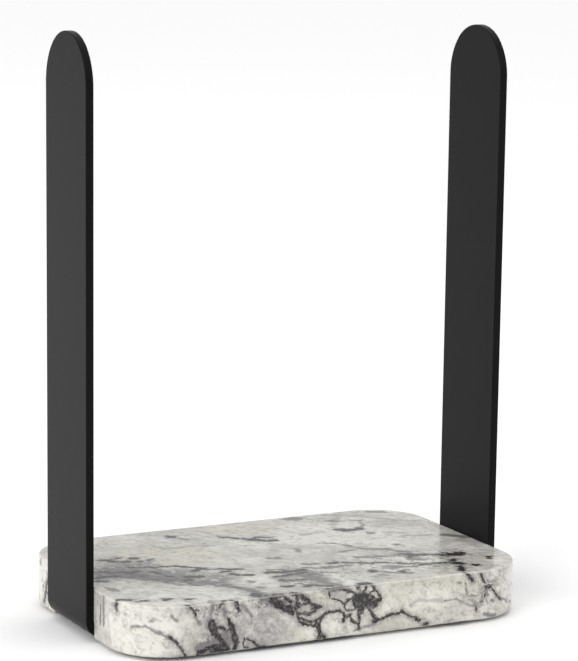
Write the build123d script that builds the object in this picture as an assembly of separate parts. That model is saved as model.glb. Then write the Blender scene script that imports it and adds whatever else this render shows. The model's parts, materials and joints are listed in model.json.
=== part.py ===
from build123d import *

import math
import os

# Paper towel holder: a marble slab with two upright flat steel bars, one at each short end.
# A roll stands on the slab between the bars and is lifted out upwards.
#
# +X runs from the left bar to the right bar, +Y runs from front to back, and +Z is up.
# The origin lies on the table, under the middle of the slab. All sizes are in millimetres.

# Marble slab
SLAB_LENGTH = 220.0
SLAB_DEPTH = 142.0
SLAB_THICKNESS = 25.4
SLAB_CORNER_RADIUS = 30.0
TOP_ARRIS_RADIUS = 1.2
BOTTOM_ARRIS_RADIUS = 2.0

# Flat steel bar, bent once to make an upright and the foot that holds it
BAR_WIDTH = 50.0
BAR_THICKNESS = 4.0
BAR_HEIGHT = 290.0  # from the slab's underside to the top of the bar
BAR_BEND_RADIUS = 4.0  # on the inside of the bend
BAR_EDGE_RADIUS = 0.5
BAR_FOOT_LENGTH = 50.0  # from the bar's outer face to the tip of its foot
BAR_FOOT_CORNER_RADIUS = 6.0
BAR_FOOT_RECESS = 1.0  # how far the foot lies inside the slab's underside

# Pocket in the slab's underside that takes the foot
POCKET_CLEARANCE = 0.3
POCKET_MOUTH_RADIUS = 4.6  # rounds the stone inside the bend

# M5 countersunk screws with a hexagon socket, two for each foot
SCREW_DISTANCES = {"outer": 18.0, "inner": 38.0}  # from the bar's outer face
SCREW_DIAMETER = 4.9
SCREW_LENGTH = 12.0
SCREW_PITCH = 0.8
SCREW_THREAD_TURNS = 10
SCREW_THREAD_DEPTH = 0.4
SCREW_TIP_CHAMFER = 0.6
SCREW_HEAD_DIAMETER = 10.0
SCREW_HEAD_RIM = 0.2
SCREW_HEAD_RECESS = 0.1  # how far the head lies inside the foot's underside
SCREW_SOCKET_WIDTH = 3.0
SCREW_SOCKET_DEPTH = 2.0
SCREW_HOLE_DIAMETER = 5.5

# Threaded brass inserts, bonded into blind holes in the stone
INSERT_DIAMETER = 7.8
INSERT_LENGTH = 10.0
INSERT_BORE_DIAMETER = 5.0
INSERT_CHAMFER = 0.4
INSERT_WAIST_DIAMETER = 6.9
INSERT_WAIST_LENGTH = 2.0
INSERT_KNURL_COUNT = 20
INSERT_KNURL_WIDTH = 0.5
INSERT_HOLE_DIAMETER = 8.0
INSERT_HOLE_DEPTH = 11.0

# Rubber feet stuck to the slab's underside, near its corners
FOOT_DIAMETER = 12.0
FOOT_HEIGHT = 1.6
FOOT_EDGE_RADIUS = 0.6
FOOT_X = 82.0
FOOT_Y = 46.0

# How a cylinder, cone or box sits on its place: centred on it, and standing up from it
STANDING = (Align.CENTER, Align.CENTER, Align.MIN)

# Levels and faces that follow from the sizes above
SLAB_UNDERSIDE = FOOT_HEIGHT
BAR_UNDERSIDE = SLAB_UNDERSIDE + BAR_FOOT_RECESS
POCKET_ROOF = BAR_UNDERSIDE + BAR_THICKNESS
BAR_TOP = SLAB_UNDERSIDE + BAR_HEIGHT
BAR_OUTER_FACE = SLAB_LENGTH / 2 + BAR_THICKNESS
BAR_FOOT_TIP = BAR_OUTER_FACE - BAR_FOOT_LENGTH

SIDES = {"left": -1, "right": 1}
ROWS = {"front": -1, "back": 1}


def screw_places():
    """Yields the name and the place, along X, of each screw and its insert."""
    for side, sign in SIDES.items():
        for position, distance in SCREW_DISTANCES.items():
            yield f"{side}_{position}", sign * (BAR_OUTER_FACE - distance)


def make_slab():
    """The stone, with a pocket for each foot and a blind hole for each insert."""
    outline = RectangleRounded(SLAB_LENGTH, SLAB_DEPTH, SLAB_CORNER_RADIUS)
    slab = Pos(0, 0, SLAB_UNDERSIDE) * extrude(outline, SLAB_THICKNESS)
    slab = fillet(slab.edges().group_by(Axis.Z)[-1], TOP_ARRIS_RADIUS)
    slab = fillet(slab.edges().group_by(Axis.Z)[0], BOTTOM_ARRIS_RADIUS)
    for sign in SIDES.values():
        slab -= pocket(sign)
    roof_edges = slab.edges().filter_by_position(Axis.Z, POCKET_ROOF, POCKET_ROOF)
    mouths = roof_edges.filter_by(Axis.Y).group_by(SortBy.LENGTH)[-1]
    slab = fillet(mouths, POCKET_MOUTH_RADIUS)
    hole = Cylinder(INSERT_HOLE_DIAMETER / 2, INSERT_HOLE_DEPTH, align=STANDING)
    for _, x in screw_places():
        slab -= Pos(x, 0, POCKET_ROOF) * hole
    return slab


def pocket(sign):
    """The space cut for one foot: open below and at the slab's end."""
    inner_end = BAR_FOOT_TIP - POCKET_CLEARANCE
    outer_end = BAR_OUTER_FACE + SLAB_CORNER_RADIUS
    outline = RectangleRounded(
        outer_end - inner_end,
        BAR_WIDTH + 2 * POCKET_CLEARANCE,
        BAR_FOOT_CORNER_RADIUS + POCKET_CLEARANCE,
    )
    return Pos(sign * (inner_end + outer_end) / 2, 0, 0) * extrude(outline, POCKET_ROOF)


def make_right_upright():
    """A flat bar with a half-round top, bent at the bottom into a foot with two screw holes."""
    middle_x = BAR_OUTER_FACE - BAR_THICKNESS / 2
    middle_z = BAR_UNDERSIDE + BAR_THICKNESS / 2
    middle_line = FilletPolyline(
        (middle_x, BAR_TOP),
        (middle_x, middle_z),
        (BAR_FOOT_TIP, middle_z),
        radius=BAR_BEND_RADIUS + BAR_THICKNESS / 2,
    )
    bar = extrude(Plane.XZ * trace(middle_line, BAR_THICKNESS), BAR_WIDTH / 2, both=True)
    bar &= extrude(Plane.YZ * bar_front_outline(), BAR_OUTER_FACE)
    bar = fillet(bar.edges().filter_by(Axis.Z).group_by(Axis.X)[0], BAR_FOOT_CORNER_RADIUS)
    bar = fillet(sharp_bar_edges(bar), BAR_EDGE_RADIUS)
    for distance in SCREW_DISTANCES.values():
        bar -= Pos(BAR_OUTER_FACE - distance, 0, BAR_UNDERSIDE) * countersunk_hole()
    return bar


def bar_front_outline():
    """The bar seen from the slab's end: straight sides and a half-round top."""
    radius = BAR_WIDTH / 2
    straight_height = BAR_TOP - radius
    straight = Pos(0, straight_height / 2) * Rectangle(BAR_WIDTH, straight_height)
    return straight + Pos(0, straight_height) * Circle(radius)


def sharp_bar_edges(bar):
    """The edges to ease. The bar's smooth seams cross its whole width or its thickness."""

    def is_seam(edge):
        return any(math.isclose(edge.length, size, rel_tol=1e-3) for size in (BAR_WIDTH, BAR_THICKNESS))

    return bar.edges().filter_by(is_seam, reverse=True)


def countersunk_hole():
    """A through hole in the foot, whose cone fits the screw's head, upwards from z = 0."""
    top_radius = SCREW_HOLE_DIAMETER / 2
    mouth_radius = SCREW_HEAD_DIAMETER / 2 + SCREW_HEAD_RIM + SCREW_HEAD_RECESS
    hole = Cylinder(top_radius, BAR_THICKNESS, align=STANDING)
    return hole + Cone(mouth_radius, top_radius, mouth_radius - top_radius, align=STANDING)


def make_screw():
    """A screw that points up, with its head's flat face at z = 0. Rings stand for its thread."""
    head_radius = SCREW_HEAD_DIAMETER / 2
    radius = SCREW_DIAMETER / 2
    thread_end = SCREW_LENGTH - SCREW_TIP_CHAMFER
    thread_start = thread_end - SCREW_THREAD_TURNS * SCREW_PITCH
    outline = [
        (0, 0),
        (head_radius, 0),
        (head_radius, SCREW_HEAD_RIM),
        (radius, SCREW_HEAD_RIM + head_radius - radius),
        (radius, thread_start),
    ]
    for turn in range(SCREW_THREAD_TURNS):
        groove = thread_start + (turn + 0.5) * SCREW_PITCH
        outline.append((radius - SCREW_THREAD_DEPTH, groove))
        outline.append((radius, groove + 0.5 * SCREW_PITCH))
    outline.append((radius - SCREW_TIP_CHAMFER, SCREW_LENGTH))
    outline.append((0, SCREW_LENGTH))
    screw = revolve(Plane.XZ * make_face(Polyline(*outline, close=True)), Axis.Z)
    socket = RegularPolygon(SCREW_SOCKET_WIDTH / 2, 6, major_radius=False)
    return screw - extrude(socket, SCREW_SOCKET_DEPTH)


def make_insert():
    """A brass sleeve with two knurled bands and a waist between them, upwards from z = 0."""
    radius = INSERT_DIAMETER / 2
    insert = Cylinder(radius, INSERT_LENGTH, align=STANDING)
    insert = chamfer(insert.edges().filter_by(GeomType.CIRCLE), INSERT_CHAMFER)
    groove = Rot(0, 0, 45) * Box(INSERT_KNURL_WIDTH, INSERT_KNURL_WIDTH, INSERT_LENGTH, align=STANDING)
    for place in PolarLocations(radius, INSERT_KNURL_COUNT):
        insert -= place * groove
    waist = Cylinder(radius, INSERT_WAIST_LENGTH) - Cylinder(INSERT_WAIST_DIAMETER / 2, INSERT_WAIST_LENGTH)
    insert -= Pos(0, 0, INSERT_LENGTH / 2) * waist
    return insert - Cylinder(INSERT_BORE_DIAMETER / 2, INSERT_LENGTH, align=STANDING)


def make_foot():
    """A rubber disc, upwards from z = 0, with its lower edge rounded."""
    foot = Cylinder(FOOT_DIAMETER / 2, FOOT_HEIGHT, align=STANDING)
    return fillet(foot.edges().group_by(Axis.Z)[0], FOOT_EDGE_RADIUS)


def make_pieces():
    """Every piece of the holder in its place, by name."""
    right_upright = make_right_upright()
    pieces = {
        "marble_base": make_slab(),
        "right_upright": right_upright,
        "left_upright": Rot(0, 0, 180) * right_upright,
    }
    screw = make_screw()
    insert = make_insert()
    for name, x in screw_places():
        pieces[f"{name}_screw"] = Pos(x, 0, BAR_UNDERSIDE + SCREW_HEAD_RECESS) * screw
        pieces[f"{name}_threaded_insert"] = Pos(x, 0, POCKET_ROOF) * insert
    foot = make_foot()
    for row, row_sign in ROWS.items():
        for side, side_sign in SIDES.items():
            place = Pos(side_sign * FOOT_X, row_sign * FOOT_Y, 0)
            pieces[f"{row}_{side}_rubber_foot"] = place * foot
    return pieces


os.makedirs("parts", exist_ok=True)
for name, piece in make_pieces().items():
    export_step(piece, f"parts/{name}.step")
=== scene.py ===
"""Looks of the paper towel holder: its materials, and the floor, lights and camera round it."""

import json
import math

import bpy
from mathutils import Matrix, Vector


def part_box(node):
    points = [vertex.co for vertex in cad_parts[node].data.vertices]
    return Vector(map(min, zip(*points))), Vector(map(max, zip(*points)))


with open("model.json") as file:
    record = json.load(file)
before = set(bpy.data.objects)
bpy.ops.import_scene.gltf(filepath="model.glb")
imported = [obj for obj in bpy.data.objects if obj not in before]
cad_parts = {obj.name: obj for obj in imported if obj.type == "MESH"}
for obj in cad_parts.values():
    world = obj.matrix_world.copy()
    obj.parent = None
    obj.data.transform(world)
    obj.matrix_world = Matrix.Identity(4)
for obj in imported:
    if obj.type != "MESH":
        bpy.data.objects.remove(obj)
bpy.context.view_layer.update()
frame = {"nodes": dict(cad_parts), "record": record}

MM = 0.001
SLAB_LOW, SLAB_HIGH = (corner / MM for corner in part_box("marble_base"))
SLAB_CORNER_RADIUS = 30.0  # mm, as in the CAD


# ---------------------------------------------------------------- shader helpers


def srgb(red, green, blue):
    """The linear colour of screen values from 0 to 255."""
    def linear(value):
        value /= 255
        return value / 12.92 if value <= 0.04045 else ((value + 0.055) / 1.055) ** 2.4
    return (linear(red), linear(green), linear(blue), 1.0)


class Nodes:
    """A node tree, and short calls that add a node to it and return what the node puts out."""

    def __init__(self, tree):
        self.tree = tree

    def plug(self, socket, value):
        """Sets a socket to a plain value, or links it to a node's output."""
        if isinstance(value, bpy.types.NodeSocket):
            self.tree.links.new(value, socket)
        else:
            socket.default_value = value

    def node(self, kind, inputs, **settings):
        """A new node. Only a group's own input and output have no "Shader" in their kind."""
        node = self.tree.nodes.new(kind if kind.startswith("NodeGroup") else f"ShaderNode{kind}")
        for setting, value in settings.items():
            setattr(node, setting, value)
        for name, value in inputs.items():
            self.plug(node.inputs[name], value)
        return node

    def math(self, operation, *values):
        """An operation on numbers."""
        inputs = dict(enumerate(values))
        return self.node("Math", inputs, operation=operation).outputs["Value"]

    def vector(self, operation, *values):
        """A vector operation that gives a vector."""
        inputs = dict(enumerate(values))
        return self.node("VectorMath", inputs, operation=operation).outputs["Vector"]

    def measure(self, operation, *values):
        """A vector operation that gives a number."""
        inputs = dict(enumerate(values))
        return self.node("VectorMath", inputs, operation=operation).outputs["Value"]

    def scaled(self, vector, factor):
        inputs = {"Vector": vector, "Scale": factor}
        return self.node("VectorMath", inputs, operation="SCALE").outputs["Vector"]

    def object_place(self):
        """The place on the object, in millimetres of the shared frame."""
        place = self.node("TexCoord", {}).outputs["Object"]
        return self.scaled(place, 1 / MM)

    def facing_up(self, kind):
        """1 where the surface faces up, 0 where it is upright and -1 where it faces down."""
        normal = self.node("NewGeometry", {}).outputs[kind]
        return self.measure("DOT_PRODUCT", normal, (0, 0, 1))

    def noise(self, place, size, detail=2.0, roughness=0.5):
        """Cloudy noise from 0 to 1, with features about this size."""
        inputs = {"Vector": place, "Scale": 1 / size, "Detail": detail, "Roughness": roughness}
        return self.node("TexNoise", inputs).outputs[0]

    def push(self, place, size, reach, detail=2.0, roughness=0.5):
        """Moves about that vary with the place like noise, each up to about this reach."""
        inputs = {"Vector": place, "Scale": 1 / size, "Detail": detail, "Roughness": roughness}
        noise = self.node("TexNoise", inputs).outputs["Color"]
        centred = self.vector("SUBTRACT", noise, (0.5, 0.5, 0.5))
        return self.vector("MULTIPLY", centred, tuple(2 * length for length in reach))

    def step(self, value, start, end):
        """Goes smoothly from 0 to 1 while the value goes from start to end."""
        inputs = {"Value": value, "From Min": start, "From Max": end}
        return self.node("MapRange", inputs, interpolation_type="SMOOTHSTEP").outputs["Result"]

    def near(self, value, target, reach):
        """1 where the value is the target, and 0 where it is off by the reach or more."""
        difference = self.math("ABSOLUTE", self.math("SUBTRACT", value, target))
        return self.step(difference, reach, 0.0)

    def spread(self, value, start, end):
        """Turns a value from 0 to 1 into one from start to end."""
        inputs = {"Value": value, "To Min": start, "To Max": end}
        return self.node("MapRange", inputs).outputs["Result"]

    def product(self, first, *others):
        for other in others:
            first = self.math("MULTIPLY", first, other)
        return first

    def mixed(self, factor, first, second):
        """The first colour where the factor is 0, and the second where it is 1."""
        node = self.node("Mix", {"Factor": factor}, data_type="RGBA")
        colours = [socket for socket in node.inputs if socket.type == "RGBA"]
        self.plug(colours[0], first)
        self.plug(colours[1], second)
        return next(socket for socket in node.outputs if socket.type == "RGBA")

    def painted(self, under, colour, *amounts, strength=1.0):
        """A colour with another over it, as strongly as the amounts and strength multiplied."""
        return self.mixed(self.product(*amounts, strength), under, colour)

    def bump(self, height, distance, strength=1.0):
        """A normal for a height from 0 to 1, where distance is how many millimetres 1 stands for."""
        inputs = {"Height": height, "Distance": distance * MM, "Strength": strength}
        return self.node("Bump", inputs).outputs["Normal"]


def new_material(name):
    """A material, its nodes, and its surface shader."""
    material = bpy.data.materials.new(name)
    material.use_nodes = True
    tree = material.node_tree
    return material, Nodes(tree), tree.nodes["Principled BSDF"]


def new_group(name, vectors, numbers):
    """A node group with these inputs, which puts out one number."""
    tree = bpy.data.node_groups.new(name, "ShaderNodeTree")
    for vector in vectors:
        tree.interface.new_socket(vector, in_out="INPUT", socket_type="NodeSocketVector")
    for number in numbers:
        tree.interface.new_socket(number, in_out="INPUT", socket_type="NodeSocketFloat")
    tree.interface.new_socket("Distance", in_out="OUTPUT", socket_type="NodeSocketFloat")
    nodes = Nodes(tree)
    return tree, nodes, nodes.node("NodeGroupInput", {}).outputs


# ---------------------------------------------------------------- marble

SLAB_THICKNESS = SLAB_HIGH.z - SLAB_LOW.z
HALF_LENGTH = SLAB_HIGH.x
HALF_DEPTH = SLAB_HIGH.y
STRAIGHT_X = HALF_LENGTH - SLAB_CORNER_RADIUS  # where the front's straight stretch ends
STRAIGHT_Y = HALF_DEPTH - SLAB_CORNER_RADIUS
# How long the wall is from the middle of the front, by one end, to the middle of the back
HALF_WALL = 2 * STRAIGHT_X + 2 * STRAIGHT_Y + math.pi * SLAB_CORNER_RADIUS
FAR = 1000.0  # mm, further than any mark is from another
FLAT = 0.7  # how far up or down a face has to look, as a share, to count as the top or underside
GRAIN = Vector((1, -0.85, -0.6)).normalized()  # the way that the stone's fibres run
GRAIN_SQUEEZE = 0.72  # the share by which places are drawn together along the grain, for fibres
MOTTLE_SQUEEZE = 0.4  # the same for the mottle, as a share of the fibres'
VEIN_SLANT = (0.6, -0.4, 0)  # how far veins shift for each millimetre of depth
WALL_FRAY = (-1.1, 1.1)  # mm, how far noise moves the marks' outlines out and in on the wall
FLAT_FRAY = (-6.4, 5.2)  # mm, the same on the top and underside

# The stone's colours, from the ground up to the marks
CLOUDS = (srgb(184, 181, 174), srgb(212, 210, 202))
BEIGE = srgb(202, 199, 184)
PALE = srgb(224, 222, 214)
LILAC = srgb(158, 153, 154)
DUSKY = srgb(90, 86, 86)
SHADE = srgb(140, 136, 131)
LIGHT = srgb(224, 222, 215)
VEINLET = srgb(96, 92, 93)
FLECK = srgb(76, 72, 74)
STREAK = srgb(76, 72, 73)
THREAD = srgb(72, 68, 69)
FIBRE = srgb(70, 68, 70)
BAND = srgb(74, 70, 73)
FAINT_VEIN = srgb(132, 128, 127)
GREY_MARK = srgb(104, 100, 101)
HALO = srgb(124, 119, 118)
INK = (srgb(30, 27, 29), srgb(76, 72, 74))
# Painted highlight along the edge between the top and the wall
EDGE_HIGHLIGHT = srgb(238, 236, 230)

# The marks on the stone. Those on the front, the left end and the top follow the real slab's: their
# points were picked in the photo, turned into places on the slab with the fitted camera,
# rounded, and moved after comparing renders. The others are in the same style.
# They lie on a sheet that is the slab's top with its wall folded out along the front edge, so a mark
# can run over the edge. Along the wall, x goes on round the corners, by the wall's length. All are
# in millimetres.


def wall(*points):
    """Points on the wall, given along it and by their height over the slab's underside."""
    return [(x, height - SLAB_THICKNESS - HALF_DEPTH) for x, height in points]


# Veins: half their width, then the points that they run through
DARK_VEINS = [
    # front, left: the thin curved vein, then the cluster of streaks on its right
    (0.50, wall((-91, 10.4), (-87.5, 7.9), (-84.6, 4.6), (-82.8, 0.4))),
    (1.20, wall((-76, 1.4), (-70, 3.4), (-66, 3.8))),
    (1.70, wall((-67.5, 1.2), (-61, 2.2))),
    (2.20, wall((-69.2, 15), (-68, 11.5))),
    (1.30, wall((-67.5, 11), (-65.5, 8), (-62.4, 3.6))),
    (0.90, wall((-61, 17), (-59.5, 13))),
    (1.50, wall((-59, 12.5), (-57.2, 8), (-56.4, 5))),
    (1.10, wall((-56.4, 5), (-57.4, 0.6))),
    (0.70, wall((-68, 13.6), (-63.6, 12.2), (-61.4, 10.2), (-59, 11.6))),
    (0.80, wall((-63, 25), (-64.6, 22))),
    (1.20, wall((-57, 25), (-56, 22.5))),
    (0.80, wall((-56, 22.5), (-54.8, 19.6))),
    (0.60, wall((-82, 25.6), (-79, 22.8), (-77.8, 20.4))),
    (0.40, wall((-52, 6), (-52.8, 3.4), (-52, 1.2), (-50.3, 1))),
    (0.50, wall((-50.5, 5.3), (-47.4, 3.4), (-44.5, 1.3), (-41, 0.5))),
    # front, middle: the fibrous band, and the net round the pebbles
    (1.55, wall((-38, 23.4), (-33, 19.5), (-27, 16))),
    (0.70, wall((-31.5, 25), (-27.8, 21.2))),
    (0.50, wall((-36.5, 26.4), (-33, 24))),
    (0.75, wall((-26.5, 26.4), (-24, 22), (-25, 18.5), (-24, 14), (-22.5, 11.2), (-20, 9.6))),
    (1.20, wall((-24.5, 25), (-21, 22.4), (-18, 20.6))),
    (0.65, wall((-24.5, 16.6), (-21, 19.2), (-17.5, 20), (-14, 18.4), (-11, 17))),
    (0.65, wall((-24.3, 15), (-20, 15.2), (-16.5, 14.4), (-13.5, 15.4))),
    (0.55, wall((-22.4, 13.2), (-18, 11), (-15.5, 10.5), (-11, 12), (-8.4, 13.8))),
    (0.60, wall((-22, 10.6), (-17, 9.2), (-13.5, 7.6))),
    (0.95, wall((-13.6, 9.8), (-12.8, 7), (-12, 3.5), (-11.6, 0.6))),
    (0.65, wall((-11.6, 2.6), (-8.3, 0.7))),
    (0.75, wall((-13, 8), (-11.2, 10.8), (-8.8, 12.8), (-7, 13.8), (-1.5, 14.1))),
    (0.60, wall((-1.5, 14.1), (1, 12.4), (1.8, 9.4))),
    (0.60, wall((1.8, 11), (5, 11), (6, 8.4), (9.4, 6), (10, 3.6))),
    (0.60, wall((-10, 25.6), (-6, 25.5), (-3.5, 24.8), (0, 24.3), (4, 22.6), (9, 20.6))),
    (0.45, wall((-5.8, 24), (-6, 21.8))),
    (0.50, wall((-4.8, 20.6), (-1, 18.8), (1.5, 16.8), (1.8, 14.1), (3.5, 13.5), (8, 14.1))),
    (0.60, wall((1.2, 17.2), (3.6, 19.4), (6.2, 20), (8.4, 19))),
    (0.55, wall((6.2, 19.6), (6.4, 16.4))),
    # front: the dark patch right of the middle, the round cells under it and over it
    (1.30, wall((14, 16.6), (18, 15.4), (21.3, 16.8))),
    (0.95, wall((15, 14), (17.4, 10), (18.2, 7.4))),
    (0.60, wall((10, 14.5), (9.4, 10.5), (10, 6))),
    (0.65, wall((8, 24), (10.5, 25.4), (15, 25.3), (19, 22), (21.5, 18.4))),
    (0.60, wall((15.2, 18.4), (16, 21.6), (18, 22.6))),
    (0.60, wall((11, 21), (13.4, 22.6), (13.4, 25))),
    # front, right: the long vein, and the marks before the right corner
    (0.75, wall((19, 7.1), (24, 7.6), (28.5, 8.6), (32, 8.9))),
    (0.60, wall((32, 8.9), (33.4, 9.8), (36, 7.9), (41, 5.6), (43.5, 4.5))),
    (1.00, wall((70, 25.6), (71.4, 24), (73.4, 21.6))),
    (0.70, wall((78, 23.5), (78.4, 22), (79.6, 19.6))),
    (0.45, wall((84, 16.4), (87.6, 12.8), (91.6, 9))),
    # top, left: the jagged line, and the streaks beside the grey band
    (0.70, [(-78, 6), (-68, 1), (-56, -1)]),
    (0.90, [(-56, -1), (-50, -6), (-47, -11), (-38, -16), (-30, -20)]),
    (0.70, [(-47, -11), (-53, -14)]),
    (0.80, [(-32, -19), (-41, -22)]),
    (0.80, [(-38, -25), (-34, -30), (-30, -32)]),
    (1.10, [(-71, -7), (-69, -16), (-67, -21)]),
    (1.10, [(-97, 4), (-91, 1), (-82, -4), (-77, -4)]),
    (1.40, [(-104, -8), (-96, -7), (-90, -8)]),
    (1.20, [(-104, -13), (-99, -14)]),
    (0.60, [(-108, -49), (-103, -50), (-99, -51)]),
    # top, middle: the blotches over the pebbles, and the jagged line at the back
    (1.50, [(-20, -32), (-14, -33), (-1, -34)]),
    (1.00, [(-20, -40), (-3, -38)]),
    (0.90, [(-20, -47), (-10, -51)]),
    (1.00, [(-24, -59), (-21, -58)]),
    (1.20, [(-12, -61), (-4, -67)]),
    (0.70, [(-10, 45), (-3, 38), (2, 34)]),
    (0.90, [(2, 34), (5, 30), (13, 27)]),
    (0.60, [(3, 34), (8, 36), (14, 33)]),
    # top, right: the streaks, and the dark spot with the marks round it
    (0.70, [(24, -29), (36, -35), (43, -37), (54, -45)]),
    (1.00, [(58, -24), (63, -29), (78, -34)]),
    (1.10, [(62, -27), (60, -32)]),
    (1.10, [(55, -47.5), (68, -48.5), (77, -54)]),
    (1.20, [(73, -59), (70, -66)]),
    (0.50, [(83, -37.5), (84.6, -39)]),
    (1.40, [(53, 35), (56, 31), (65, 31)]),
    (0.30, [(94.5, -50.5), (96.5, -47)]),
    # left end, behind the bar
    (0.90, wall((-202.3, 16.5), (-204.5, 12.5), (-205.3, 8), (-207, 3.5))),
    (0.60, wall((-205, 9), (-201.5, 6.5))),
    # right end and back
    (0.50, wall((126, 25), (131, 19), (139, 15.5), (143, 8), (150, 2))),
    (0.90, wall((187, 24), (192, 17), (199, 13), (203, 5), (210, 1))),
    (0.60, wall((199, 13), (207, 15), (214, 20))),
    (1.10, wall((262, 24), (268, 18), (270, 12), (277, 7), (279, 0))),
    (0.60, wall((268, 18), (277, 20), (285, 17), (296, 19))),
    (0.50, wall((277, 7), (288, 9), (297, 5), (306, 4))),
    (0.80, wall((-326, 22), (-318, 16), (-307, 14), (-300, 7), (-291, 3))),
    (1.20, wall((-283, 23), (-279, 17), (-272, 15))),
    (0.50, wall((-307, 14), (-302, 20), (-296, 24))),
    (0.60, wall((-262, 2), (-255, 9), (-246, 12), (-240, 20))),
]
GREY_VEINS = [
    # front
    (0.55, wall((-109, 14), (-102, 15.4), (-96, 13.4), (-90, 9.8), (-85, 5), (-82.6, 0))),
    (0.70, wall((-89.6, 20.8), (-87, 18.6))),
    (1.20, wall((-131.5, 11), (-131.5, 24))),
    (0.70, wall((-135.5, 10), (-135.5, 19))),
    (0.60, wall((-81.5, 25.6), (-79.5, 23.5), (-77.5, 19), (-75.2, 15.3))),
    (0.65, wall((-54, 22.5), (-51, 19.5), (-48.5, 16.5))),
    (0.22, wall((-48.6, 15.5), (-48.6, 12.7))),
    (0.22, wall((-46.2, 12.5), (-46.2, 9.3))),
    (1.20, wall((-46, 26.4), (-38, 22.8), (-34, 19.4))),
    (0.60, wall((8, 2.6), (12.5, 4), (18, 5.8))),
    (0.80, wall((8.8, 24.6), (10.2, 22))),
    (0.30, wall((58, 12), (62, 12.5), (64, 13), (66.5, 10.8), (70, 8.7), (76, 8))),
    (0.45, wall((69.2, 19.6), (70.2, 17), (70.6, 14))),
    (0.50, wall((81, 15.5), (82.5, 12.5))),
    (0.50, wall((90, 10.8), (94, 9), (97, 6.3))),
    (0.60, wall((101, 5.6), (105, 4.6))),
    (0.90, wall((81, 3), (84, 2.2), (87.5, 1.4))),
    # right end and back
    (1.00, wall((143, 22), (152, 17), (160, 18))),
    (1.20, wall((215, 6), (226, 9), (234, 16), (243, 19))),
    (1.00, wall((306, 22), (316, 15), (326, 14))),
    (0.90, wall((-330, 6), (-320, 5), (-312, 1))),
    (1.10, wall((-270, 8), (-262, 11), (-258, 18))),
    # top, left
    (1.00, [(-90, -1), (-86, -8)]),
    (0.90, [(-66, -3), (-69, -9), (-68, -16)]),
    (1.30, [(-62, -33), (-55, -34), (-50, -38)]),
    (1.10, [(-34, 58), (-32, 52), (-29, 46)]),
    # top, middle
    (0.90, [(-17, -26), (-10, -29.5)]),
    (2.00, [(-8, -41), (-4.5, -46), (-3, -53), (-1.5, -62), (1.5, -71)]),
    (1.20, [(1, -30), (8, -34), (16, -35), (23, -35)]),
    (1.30, [(4, -24), (9, -25)]),
    (1.00, [(-6, -6), (-2, -8)]),
    (1.00, [(15, 5), (13, 0)]),
    # top, right
    (0.80, [(32, 12), (41, 5), (45, -6), (51, -11), (57, -15), (64, -23)]),
    (0.70, [(32, -9), (41, -8), (50, -9), (59, -14)]),
    (1.20, [(35, -22), (42, -25)]),
    (1.20, [(47, -25), (58, -28.5)]),
    (1.00, [(59, -29), (59, -36), (64, -40)]),
    (1.10, [(38, -44), (45, -47)]),
    (1.00, [(40, -49), (50, -50), (58, -48)]),
    (1.00, [(33, -53), (38, -58), (44, -60)]),
    (0.60, [(58, 53), (66, 50), (74, 48), (72, 41), (67, 33)]),
    (1.80, [(89, 63), (95, 60)]),
    (1.80, [(100, 2), (107, -7)]),
]
FAINT_VEINS = [
    (1.40, [(56, 46), (63, 54), (70, 64)]),
    (1.30, [(63, 66), (76, 58), (83, 52), (93, 40), (104, 34)]),
    (1.20, [(32, 31), (39, 33), (44, 33)]),
    (1.30, [(79, 9), (84, 6), (92, 5)]),
    (1.20, [(-48, 35), (-40, 32)]),
    (1.20, [(-38, 33), (-26, 31)]),
    (0.70, wall((58, 12), (50, 13.4), (43, 14), (38, 12.4))),
]
BANDS = [
    (1.6, [(-97, -4), (-91, -5), (-85, -9)]),
    (4.4, [(-85, -9), (-78, -15), (-74, -23), (-67, -31), (-59, -37)]),
    (2.0, [(-59, -37), (-51, -43), (-46, -50), (-42, -58), (-41, -68)]),
]

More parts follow.
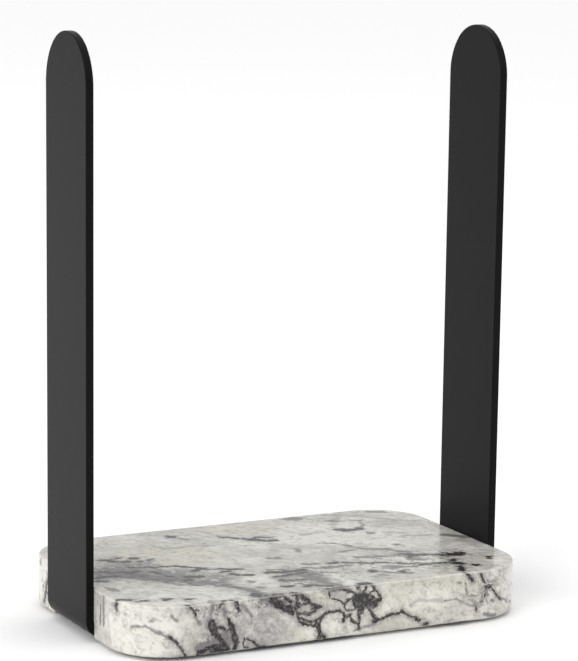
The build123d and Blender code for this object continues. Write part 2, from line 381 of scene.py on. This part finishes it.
# Spots and patches: their centre, then how far they reach along the sheet's two directions
DARK_SPOTS = [
    # front
    (wall((-118.8, 22.8)), 1.1, 2.6),
    (wall((-77.6, 22.5)), 1.1, 0.6),
    (wall((-75, 1.8)), 1.2, 1.4),
    (wall((-68.3, 12.6)), 2.4, 3.4),
    (wall((-68.4, 3.6)), 2.4, 1.8),
    (wall((-23.4, 19.2)), 1.4, 1.8),
    (wall((-13, 16.8)), 2.4, 0.9),
    (wall((-16.3, 15)), 1.6, 0.7),
    (wall((1.5, 9.2)), 1.0, 1.3),
    (wall((3.6, 10.8)), 1.7, 0.7),
    (wall((-1.6, 24.8)), 3.0, 0.7),
    (wall((12.4, 17.2)), 6.4, 4.0),
    (wall((9, 19.8)), 3.0, 2.0),
    (wall((16.8, 15.4)), 4.2, 2.8),
    (wall((10.5, 12.6)), 1.8, 2.2),
    (wall((8, 15.6)), 2.0, 1.5),
    (wall((18.7, 7.2)), 1.7, 1.4),
    (wall((42.6, 4.7)), 1.3, 0.8),
    (wall((47.2, 1.9)), 1.6, 1.3),
    (wall((76, 6.4)), 0.7, 1.5),
    (wall((79.2, 9.6)), 0.9, 0.7),
    (wall((80.6, 12.8)), 0.7, 1.1),
    (wall((82.6, 16.8)), 2.6, 1.1),
    (wall((-33.5, 20.6)), 3.2, 2.2),
    (wall((-28.5, 18.2)), 2.6, 2.0),
    (wall((-37.5, 24)), 2.4, 1.2),
    # top
    ([(-59, -23)], 2.4, 2.2),
    ([(-54, -25)], 2.2, 1.8),
    ([(-62, -29)], 2.4, 1.6),
    ([(-84, 24)], 1.8, 1.6),
    ([(-81, 20)], 2.2, 1.6),
    ([(-76, 25)], 1.8, 1.4),
    ([(-75, 17)], 2.2, 1.8),
    ([(-69, 22)], 1.8, 1.6),
    ([(-68, 14)], 2.2, 1.6),
    ([(-63, 15)], 1.6, 1.4),
    ([(-98, -55)], 1.8, 1.4),
    ([(-86, -57)], 1.8, 1.4),
    ([(-77, -61)], 1.8, 1.4),
    ([(-44, -67)], 2.4, 2.4),
    ([(-14, -63)], 1.8, 1.4),
    ([(13.5, -68.5)], 2.6, 2.6),
    ([(20, -27)], 2.4, 2.0),
    ([(29, -50)], 1.6, 1.4),
    ([(41.5, -56.5)], 1.2, 1.0),
    ([(82, -36)], 5.2, 2.8),
    ([(76.5, -47)], 1.9, 1.5),
    ([(81.5, -59.5)], 1.5, 1.7),
    ([(-33, 55)], 2.0, 2.2),
    ([(3, 32)], 2.6, 2.4),
]
GREY_SPOTS = [
    # front
    (wall((-95.4, 13.2)), 1.7, 0.8),
    (wall((-99, 18.8)), 0.9, 0.5),
    (wall((-71, 3.6)), 7.0, 3.4),
    (wall((-64, 5.5)), 6.0, 4.5),
    (wall((-62.6, 7.4)), 2.8, 3.0),
    (wall((-62.4, 20)), 1.2, 1.4),
    (wall((-69.2, 23)), 1.1, 2.6),
    (wall((86, 9)), 1.7, 0.9),
    (wall((65.8, 20.5)), 1.0, 0.8),
    # ends and back
    (wall((-213, 22)), 2.0, 1.6),
    (wall((194, 8)), 4.0, 3.0),
    (wall((274, 14)), 5.0, 3.0),
    (wall((-276, 19)), 4.0, 3.0),
    (wall((-234, 21)), 3.0, 2.0),
    # top
    ([(-64, -21)], 5.0, 4.0),
    ([(-68, -12)], 3.0, 3.0),
    ([(-103, -30)], 1.6, 4.0),
    ([(-36, -44)], 1.4, 1.8),
    ([(-36, -56)], 1.4, 1.8),
    ([(39, -24)], 1.8, 1.4),
    ([(-30, 48)], 1.7, 3.0),
    ([(54, 34)], 3.0, 2.4),
    ([(43, 65)], 5.0, 3.4),
    ([(66, 20)], 2.0, 2.0),
    ([(66, -7)], 1.8, 1.6),
]
PALE_PATCHES = [
    (wall((-38, 18.2)), 4.0, 1.8),
    (wall((-29, 12.4)), 2.2, 1.4),
    (wall((-2, 7)), 8.0, 4.0),
    (wall((-16, 4.5)), 4.5, 3.0),
    (wall((25, 13)), 4.5, 4.0),
    (wall((-22.3, 22.4)), 1.2, 0.9),
    (wall((-106, 12)), 24.0, 14.0),
    ([(50, -46)], 7.0, 2.2),
    ([(-16, -56)], 4.0, 4.0),
    ([(8, -58)], 4.0, 10.0),
    ([(44, 30)], 30.0, 26.0),
    ([(74, 6)], 26.0, 24.0),
    ([(48, -40)], 24.0, 16.0),
    (wall((106, 14)), 18.0, 12.0),
    (wall((48, 14)), 14.0, 8.0),
    ([(-2, 20)], 8.0, 9.0),
    (wall((-206, 13)), 14.0, 14.0),
]
LILAC_PATCHES = [
    (wall((-45, 10)), 15.0, 12.0),
    (wall((-67, 14)), 9.0, 14.0),
    (wall((-17, 17)), 7.0, 3.0),
    (wall((204, 11)), 15.0, 13.0),
    (wall((276, 12)), 18.0, 13.0),
    (wall((-282, 14)), 16.0, 12.0),
    ([(-84, -2)], 14.0, 11.0),
    ([(-66, -20)], 11.0, 11.0),
    ([(-50, -42)], 8.0, 11.0),
    ([(-43, -62)], 6.0, 12.0),
    ([(-3, -60)], 7.0, 12.0),
]
BEIGE_PATCHES = [
    (wall((40, 15)), 26.0, 12.0),
    (wall((-8, 21)), 8.0, 5.0),
    (wall((-20, 5)), 7.0, 6.0),
    (wall((66, 20)), 10.0, 8.0),
    ([(-52, 18)], 30.0, 22.0),
    ([(10, 56)], 34.0, 14.0),
]
DUSKY_PATCHES = [
    ([(-86, 0)], 22.0, 14.0),
    ([(-64, -18)], 16.0, 12.0),
    ([(-48, -32)], 10.0, 9.0),
    ([(-8, -42)], 12.0, 14.0),
]
FIBROUS_PATCHES = [
    (wall((-38, 24)), 11.0, 4.5),
    (wall((-29, 21)), 6.0, 5.0),
]
STREAKED_PATCHES = [
    ([(-84, 6)], 22.0, 18.0),
    ([(-60, -20)], 18.0, 14.0),
    ([(-40, -24)], 14.0, 10.0),
    ([(-8, -46)], 16.0, 22.0),
    ([(30, -40)], 30.0, 20.0),
    ([(66, -40)], 22.0, 20.0),
]
BROKEN_PATCHES = [
    ([(-84, 2)], 26.0, 18.0),
    ([(-52, -24)], 16.0, 12.0),
    ([(-8, -44)], 16.0, 22.0),
    ([(60, -36)], 42.0, 18.0),
    (wall((-4, 23)), 26.0, 2.5),
    (wall((-66, 14)), 12.0, 14.0),
    (wall((80, 15)), 12.0, 10.0),
    (wall((-204, 10)), 8.0, 14.0),
    (wall((200, 12)), 18.0, 14.0),
    (wall((278, 12)), 22.0, 14.0),
    (wall((-290, 13)), 26.0, 14.0),
]


def make_stretch_group():
    """A node group: how far a place is from the straight line from a start along a vector."""
    group, nodes, given = new_group("distance_to_stretch", ["Place", "Start", "Along", "Measure"], [])
    offset = nodes.vector("SUBTRACT", given["Place"], given["Start"])
    share = nodes.measure("DOT_PRODUCT", offset, given["Measure"])
    share = nodes.node("Clamp", {"Value": share}).outputs["Result"]
    foot = nodes.scaled(given["Along"], share)
    nodes.node("NodeGroupOutput", {"Distance": nodes.measure("DISTANCE", offset, foot)})
    return group


def make_spot_group():
    """A node group: how far a place is outside an ellipse. It is right near the outline."""
    group, nodes, given = new_group("distance_to_spot", ["Place", "Centre", "Reach"], ["Least reach"])
    offset = nodes.vector("SUBTRACT", given["Place"], given["Centre"])
    from_centre = nodes.measure("LENGTH", nodes.vector("DIVIDE", offset, given["Reach"]))
    outside = nodes.math("MULTIPLY", nodes.math("SUBTRACT", from_centre, 1), given["Least reach"])
    nodes.node("NodeGroupOutput", {"Distance": outside})
    return group


def make_marks_group(name, stretch_group, spot_group, veins, spots):
    """A node group: how far a place on the sheet is outside the nearest of some veins and spots."""
    group, nodes, given = new_group(name, ["Place"], [])
    sheet = given["Place"]
    nearest = FAR
    for half_width, points in veins:
        to_line = FAR
        for start, end in zip(points, points[1:]):
            start = Vector((*start, 0))
            along = Vector((*end, 0)) - start
            measure = along / along.length_squared
            inputs = {"Place": sheet, "Start": start, "Along": along, "Measure": measure}
            to_stretch = nodes.node("Group", inputs, node_tree=stretch_group).outputs["Distance"]
            to_line = nodes.math("MINIMUM", to_stretch, to_line)
        nearest = nodes.math("MINIMUM", nodes.math("SUBTRACT", to_line, half_width), nearest)
    for [centre], reach_x, reach_y in spots:
        inputs = {
            "Place": sheet,
            "Centre": (*centre, 0),
            "Reach": (reach_x, reach_y, 1),
            "Least reach": min(reach_x, reach_y),
        }
        to_spot = nodes.node("Group", inputs, node_tree=spot_group).outputs["Distance"]
        nearest = nodes.math("MINIMUM", to_spot, nearest)
    nodes.node("NodeGroupOutput", {"Distance": nearest})
    return group


def unfolded_sheet(nodes, place):
    """Where a place on the slab lies on the marks' sheet, and 1 on the top and underside."""
    parts = nodes.node("SeparateXYZ", {"Vector": place}).outputs
    x, y, z = parts["X"], parts["Y"], parts["Z"]
    past_x = nodes.math("SUBTRACT", nodes.math("ABSOLUTE", x), STRAIGHT_X)
    past_y = nodes.math("SUBTRACT", nodes.math("ABSOLUTE", y), STRAIGHT_Y)
    # Round a corner, the wall's length is the radius times the angle turned through.
    turned = nodes.math("ARCTAN2", nodes.math("MAXIMUM", past_x, 0), nodes.math("MAXIMUM", past_y, 0))
    round_corner = nodes.math("MULTIPLY", turned, SLAB_CORNER_RADIUS)
    before_corner = nodes.math("ADD", nodes.math("MINIMUM", past_x, 0), STRAIGHT_X)
    after_corner = nodes.math("MINIMUM", past_y, 0)
    from_middle = nodes.math("SUBTRACT", nodes.math("ADD", before_corner, round_corner), after_corner)
    from_back = nodes.math("SUBTRACT", HALF_WALL, from_middle)
    is_back = nodes.math("GREATER_THAN", y, 0)
    difference = nodes.math("SUBTRACT", from_back, from_middle)
    from_front = nodes.math("MULTIPLY_ADD", is_back, difference, from_middle)
    on_wall = nodes.node("CombineXYZ", {
        "X": nodes.math("MULTIPLY", from_front, nodes.math("SIGN", x)),
        "Y": nodes.math("SUBTRACT", z, SLAB_HIGH.z + HALF_DEPTH),
    }).outputs["Vector"]
    # The veins run down through the slab at a slant, so the underside's are off the top's.
    depth = nodes.math("SUBTRACT", SLAB_HIGH.z, z)
    from_above = nodes.vector("MULTIPLY", place, (1, 1, 0))
    on_flat = nodes.vector("ADD", from_above, nodes.scaled(VEIN_SLANT, depth))
    is_flat = nodes.math("GREATER_THAN", nodes.math("ABSOLUTE", nodes.facing_up("True Normal")), FLAT)
    to_flat = nodes.scaled(nodes.vector("SUBTRACT", on_flat, on_wall), is_flat)
    return nodes.vector("ADD", on_wall, to_flat), is_flat


class Stone:
    """The marble's nodes and what its layers share: noises, and distances from the marks."""

    def __init__(self, nodes):
        self.nodes = nodes
        place = nodes.object_place()
        # Places are drawn together along the grain, so that noise at them is drawn out along it.
        along_grain = nodes.measure("DOT_PRODUCT", place, GRAIN)
        back_along = nodes.scaled(GRAIN, nodes.math("MULTIPLY", along_grain, -GRAIN_SQUEEZE))
        fibres = nodes.vector("ADD", place, back_along)
        half_drawn = nodes.vector("ADD", place, nodes.scaled(back_along, MOTTLE_SQUEEZE))

        self.clouds = nodes.noise(place, 20.0, detail=5.0, roughness=0.6)
        self.drift = nodes.noise(place, 16.0, detail=3.0)
        self.grains = nodes.noise(place, 1.5, detail=3.0, roughness=0.65)
        self.grit = nodes.noise(place, 0.7, detail=3.0, roughness=0.7)
        self.mottle = nodes.noise(half_drawn, 3.6, detail=6.0, roughness=0.74)
        self.ripple = nodes.noise(fibres, 8.0, detail=5.0, roughness=0.62)
        self.streaks = nodes.noise(fibres, 5.5, detail=6.0, roughness=0.72)
        self.pepper = nodes.noise(fibres, 2.8, detail=4.0, roughness=0.75)
        self.hairs = nodes.noise(fibres, 1.1, detail=3.0, roughness=0.7)

        # The marks' outlines wander, coarsely and finely, and fray. The top cuts the stone's layers
        # at a slant, so its marks are wider and fray further, along the grain.
        sheet, self.is_flat = unfolded_sheet(nodes, place)
        coarse = nodes.push(place, 7.0, (1.6, 1.6, 0))
        fine = nodes.push(place, 1.3, (0.8, 0.8, 0), detail=3.0, roughness=0.6)
        self.sheet = nodes.vector("ADD", nodes.vector("ADD", sheet, coarse), fine)
        wall_fray = nodes.spread(nodes.noise(place, 1.8, detail=4.0, roughness=0.75), *WALL_FRAY)
        flat_fray = nodes.spread(nodes.noise(fibres, 3.2, detail=5.0, roughness=0.75), *FLAT_FRAY)
        difference = nodes.math("SUBTRACT", flat_fray, wall_fray)
        self.fray = nodes.math("MULTIPLY_ADD", self.is_flat, difference, wall_fray)
        self.stretch_group = make_stretch_group()
        self.spot_group = make_spot_group()

    def outside(self, name, veins=(), spots=()):
        """How far a place is outside the nearest of these marks, in millimetres."""
        group = make_marks_group(name, self.stretch_group, self.spot_group, veins, spots)
        distance = self.nodes.node("Group", {"Place": self.sheet}, node_tree=group).outputs["Distance"]
        return self.nodes.math("ADD", distance, self.fray)

    def marked(self, name, start, end, veins=(), spots=()):
        """Goes from 0 to 1 between two distances outside the nearest mark. Below 0 is inside it."""
        return self.nodes.step(self.outside(name, veins, spots), start, end)


def paint_ground(stone):
    """Warm white clouds and patches, mottled in grey and white."""
    nodes = stone.nodes
    mottle = stone.mottle
    colour = nodes.mixed(nodes.step(stone.clouds, 0.35, 0.65), *CLOUDS)
    beige = stone.marked("beige_patches", 6.0, -8.0, spots=BEIGE_PATCHES)
    colour = nodes.painted(colour, BEIGE, beige, strength=0.7)
    pale = stone.marked("pale_patches", 3.0, -5.0, spots=PALE_PATCHES)
    colour = nodes.painted(colour, PALE, pale, strength=0.75)
    lilac = stone.marked("lilac_patches", 4.0, -5.0, spots=LILAC_PATCHES)
    colour = nodes.painted(colour, LILAC, lilac, nodes.step(mottle, 0.2, 0.7))
    dusky = stone.marked("dusky_patches", 5.0, -6.0, spots=DUSKY_PATCHES)
    colour = nodes.painted(colour, DUSKY, dusky, nodes.step(mottle, 0.3, 0.6), strength=0.85)
    colour = nodes.painted(colour, SHADE, nodes.step(mottle, 0.47, 0.68), strength=0.7)
    return nodes.painted(colour, LIGHT, nodes.step(mottle, 0.45, 0.30), strength=0.6)


def paint_breaks(stone, colour):
    """Fine veinlets, flecks, streaks, threads and fibres, mostly where the stone is broken."""
    nodes = stone.nodes
    broken = stone.marked("broken_patches", 4.0, -6.0, spots=BROKEN_PATCHES)
    somewhere = nodes.product(nodes.step(stone.drift, 0.48, 0.66), 0.6)
    broken = nodes.math("MAXIMUM", broken, somewhere)
    veinlet = nodes.product(nodes.near(stone.ripple, 0.5, 0.030), nodes.step(stone.pepper, 0.35, 0.55))
    colour = nodes.painted(colour, VEINLET, veinlet, broken, strength=0.85)
    fleck = nodes.step(stone.pepper, 0.58, 0.70)
    colour = nodes.painted(colour, FLECK, fleck, broken, strength=0.8)
    streaked = stone.marked("streaked_patches", 5.0, -6.0, spots=STREAKED_PATCHES)
    streak = nodes.step(stone.streaks, 0.54, 0.60)
    colour = nodes.painted(colour, STREAK, streak, streaked, strength=0.8)
    thread = nodes.product(nodes.near(stone.streaks, 0.44, 0.024), nodes.spread(streaked, 0.3, 1.0))
    colour = nodes.painted(colour, THREAD, thread, strength=0.8)
    fibrous = stone.marked("fibrous_patches", 2.0, -2.0, spots=FIBROUS_PATCHES)
    return nodes.painted(colour, FIBRE, fibrous, nodes.step(stone.hairs, 0.44, 0.56), strength=0.85)


def paint_marks(stone, colour):
    """The placed marks, from the faintest to the darkest, and how dark the darkest are."""
    nodes = stone.nodes
    band = stone.marked("bands", 1.6, -1.2, veins=BANDS)
    drawn_out = nodes.step(stone.streaks, 0.32, 0.48)
    peppered = nodes.spread(nodes.step(stone.pepper, 0.40, 0.56), 0.55, 1.0)
    colour = nodes.painted(colour, BAND, band, drawn_out, peppered, strength=0.95)
    faint = stone.marked("faint_veins", 1.0, -0.6, veins=FAINT_VEINS)
    colour = nodes.painted(colour, FAINT_VEIN, faint, strength=0.5)
    grey = stone.marked("grey_marks", 0.8, -0.6, GREY_VEINS, GREY_SPOTS)
    colour = nodes.painted(colour, GREY_MARK, grey, strength=0.8)
    to_dark = stone.outside("dark_marks", DARK_VEINS, DARK_SPOTS)
    halo = nodes.product(nodes.step(to_dark, 2.8, 0.0), nodes.step(stone.grains, 0.30, 0.60))
    colour = nodes.painted(colour, HALO, halo, strength=0.7)
    # The dark marks are grainy on the wall, and solid on the top and underside.
    solid = nodes.math("MAXIMUM", nodes.step(stone.grains, 0.62, 0.52), stone.is_flat)
    dark = nodes.product(nodes.step(to_dark, 0.45, -0.35), nodes.spread(solid, 0.55, 0.97))
    ink = nodes.mixed(nodes.step(stone.grit, 0.45, 0.65), *INK)
    return nodes.painted(colour, ink, dark), dark


def paint_edge_highlight(nodes, colour):
    """A painted highlight: the colour is a little paler along the polished edge between top and wall.
    """
    upward = nodes.facing_up("Normal")
    off_wall = nodes.step(upward, 0.15, 0.45)
    off_top = nodes.step(upward, 0.97, 0.75)
    # Painted highlight: the colour is lightened where the surface turns from the wall to the top.
    return nodes.painted(colour, EDGE_HIGHLIGHT, off_wall, off_top, strength=0.22)


def make_marble():
    """Polished white marble, with clouds, fibres, and dark grey veins and spots."""
    material, nodes, surface = new_material("polished_marble")
    stone = Stone(nodes)
    colour = paint_breaks(stone, paint_ground(stone))
    colour, dark = paint_marks(stone, colour)
    nodes.plug(surface.inputs["Base Color"], paint_edge_highlight(nodes, colour))
    nodes.plug(surface.inputs["Roughness"], nodes.spread(stone.grit, 0.10, 0.24))
    surface.inputs["Specular IOR Level"].default_value = 0.25
    # The dark marks lie a little under the polish, and the rest is finely pitted.
    height = nodes.math("MULTIPLY_ADD", dark, -0.6, nodes.product(stone.grit, 0.4))
    nodes.plug(surface.inputs["Normal"], nodes.bump(height, 0.02, strength=0.6))
    return material


# ---------------------------------------------------------------- metal and rubber


def make_powder_coat():
    """Satin black powder coat, with its fine orange peel."""
    material, nodes, surface = new_material("satin_black_powder_coat")
    place = nodes.object_place()
    peel = nodes.noise(place, 0.7, detail=3.0, roughness=0.55)
    drift = nodes.noise(place, 45.0, detail=3.0)
    nodes.plug(surface.inputs["Base Color"], nodes.mixed(drift, srgb(12, 11, 13), srgb(15, 14, 16)))
    nodes.plug(surface.inputs["Roughness"], nodes.spread(peel, 0.32, 0.44))
    surface.inputs["Specular IOR Level"].default_value = 0.08
    nodes.plug(surface.inputs["Normal"], nodes.bump(peel, 0.02, strength=0.5))
    return material


def make_turned_metal(name, clean, stained, stain_size, roughest, squeeze):
    """Metal with fine turning marks, which the squeeze packs closer along each piece's axis."""
    material, nodes, surface = new_material(name)
    place = nodes.object_place()
    turning = nodes.noise(nodes.vector("MULTIPLY", place, (0.2, 0.2, squeeze)), 0.5, detail=3.0)
    stain = nodes.noise(place, stain_size, detail=4.0)
    nodes.plug(surface.inputs["Base Color"], nodes.mixed(stain, clean, stained))
    surface.inputs["Metallic"].default_value = 1.0
    nodes.plug(surface.inputs["Roughness"], nodes.spread(stain, 0.25, roughest))
    nodes.plug(surface.inputs["Normal"], nodes.bump(turning, 0.02, strength=0.4))
    return material


def make_screw_steel():
    """Zinc-plated steel."""
    clean, stained = srgb(176, 178, 182), srgb(150, 151, 152)
    return make_turned_metal("zinc_plated_steel", clean, stained, 2.5, 0.45, 3.0)


def make_insert_brass():
    """Turned brass, slightly dulled."""
    clean, stained = srgb(214, 182, 116), srgb(176, 142, 84)
    return make_turned_metal("turned_brass", clean, stained, 2.0, 0.5, 4.0)


def make_foot_rubber():
    """Matte black rubber, finely grained and a little dusty."""
    material, nodes, surface = new_material("matte_black_rubber")
    place = nodes.object_place()
    grain = nodes.noise(place, 0.35, detail=3.0, roughness=0.6)
    dust = nodes.noise(place, 4.0, detail=4.0, roughness=0.7)
    dusty = nodes.mixed(nodes.step(dust, 0.5, 0.85), srgb(42, 42, 43), srgb(74, 73, 71))
    nodes.plug(surface.inputs["Base Color"], dusty)
    nodes.plug(surface.inputs["Roughness"], nodes.spread(dust, 0.7, 0.9))
    nodes.plug(surface.inputs["Normal"], nodes.bump(grain, 0.05, strength=0.6))
    return material


MATERIALS = {
    "marble": make_marble,
    "black_powder_coat": make_powder_coat,
    "screw_steel": make_screw_steel,
    "insert_brass": make_insert_brass,
    "foot_rubber": make_foot_rubber,
}


def dress_nodes():
    """Gives every CAD node the material of its slot in the record."""
    made = {slot: make() for slot, make in MATERIALS.items()}
    for subpart in frame["record"]["subparts"]:
        node = frame["nodes"][subpart["node"]]
        for slot in node.material_slots:
            slot.material = made[subpart["material_slot"]]


# ---------------------------------------------------------------- floor, lights and camera

FLOOR_SIZE = 60.0  # m, so that its edge is out of the picture or far off
FLOOR_COLOUR = (0.96, 0.96, 0.96, 1.0)

# The world's light: how strong it is at the horizon and overhead, and between which heights, as the
# upward share of a direction, it changes
HORIZON_LIGHT = 0.40
OVERHEAD_LIGHT = 1.04
HORIZON_TOP = 0.05
OVERHEAD_BOTTOM = 0.45
WHITE = (1.0, 1.0, 1.0, 1.0)

# Lamps: their place and the side of their square, in metres, and their power, in watts
LAMPS = {
    "key_light": ((-3.2, -1.7, 1.4), 2.0, 50.0),
    "top_light": ((0.2, -0.4, 2.2), 1.6, 3.0),
    "fill_light": ((2.6, -2.2, 1.2), 2.0, 9.0),
    "back_light": ((-2.6, 2.2, 0.9), 1.6, 16.0),
}
LAMP_TARGET = Vector((0, 0, 0.1))


def make_floor():
    """A plain white floor, far wider than the picture."""
    half = FLOOR_SIZE / 2
    mesh = bpy.data.meshes.new("floor")
    corners = [(-half, -half, 0), (half, -half, 0), (half, half, 0), (-half, half, 0)]
    mesh.from_pydata(corners, [], [(0, 1, 2, 3)])
    floor = bpy.data.objects.new("floor", mesh)
    bpy.context.scene.collection.objects.link(floor)
    material, _, surface = new_material("white_floor")
    surface.inputs["Base Color"].default_value = FLOOR_COLOUR
    surface.inputs["Roughness"].default_value = 1.0
    surface.inputs["Specular IOR Level"].default_value = 0.0
    mesh.materials.append(material)


def make_world():
    """White light all round, which fades towards the horizon."""
    world = bpy.data.worlds.new("white_studio")
    world.use_nodes = True
    nodes = Nodes(world.node_tree)
    direction = nodes.node("TexCoord", {}).outputs["Generated"]
    upward = nodes.measure("DOT_PRODUCT", direction, (0, 0, 1))
    fade = nodes.step(upward, HORIZON_TOP, OVERHEAD_BOTTOM)
    background = world.node_tree.nodes["Background"]
    background.inputs["Color"].default_value = WHITE
    nodes.plug(background.inputs["Strength"], nodes.spread(fade, HORIZON_LIGHT, OVERHEAD_LIGHT))
    bpy.context.scene.world = world


def make_lamp(name, place, size, power):
    """A square lamp that faces the object."""
    lamp = bpy.data.lights.new(name, "AREA")
    lamp.shape = "SQUARE"
    lamp.size = size
    lamp.energy = power
    light = bpy.data.objects.new(name, lamp)
    light.location = place
    light.rotation_euler = (LAMP_TARGET - light.location).to_track_quat("-Z", "Y").to_euler()
    bpy.context.scene.collection.objects.link(light)


CAMERA_AZIMUTH = math.radians(-26.357)
CAMERA_ELEVATION = math.radians(10.502)
CAMERA_ROLL = math.radians(0.614)
CAMERA_DISTANCE = 1.3298  # m, to the point that it looks at
CAMERA_TARGET = Vector((-0.0123, -0.0003, 0.1159))
CAMERA_LENS = 145.52  # mm
CAMERA_SENSOR = 36.0  # mm, along the picture's longer side
CAMERA_SHIFT = (0.05, 0.08)  # as a share of the picture's longer side


def make_camera():
    """The camera, turned round its target and then rolled."""
    back = Vector((
        math.sin(CAMERA_AZIMUTH) * math.cos(CAMERA_ELEVATION),
        -math.cos(CAMERA_AZIMUTH) * math.cos(CAMERA_ELEVATION),
        math.sin(CAMERA_ELEVATION),
    ))
    right = Vector((0, 0, 1)).cross(back).normalized()
    upright = Matrix((right, back.cross(right), back)).transposed()
    data = bpy.data.cameras.new("camera")
    data.lens = CAMERA_LENS
    data.sensor_width = CAMERA_SENSOR
    data.shift_x, data.shift_y = CAMERA_SHIFT
    camera = bpy.data.objects.new("camera", data)
    turned = upright @ Matrix.Rotation(CAMERA_ROLL, 3, "Z")
    place = CAMERA_TARGET + CAMERA_DISTANCE * back
    camera.matrix_world = Matrix.Translation(place) @ turned.to_4x4()
    bpy.context.scene.collection.objects.link(camera)
    bpy.context.scene.camera = camera


dress_nodes()
make_floor()
make_world()
for name, (place, size, power) in LAMPS.items():
    make_lamp(name, place, size, power)
make_camera()
bpy.context.scene.view_settings.view_transform = "Standard"
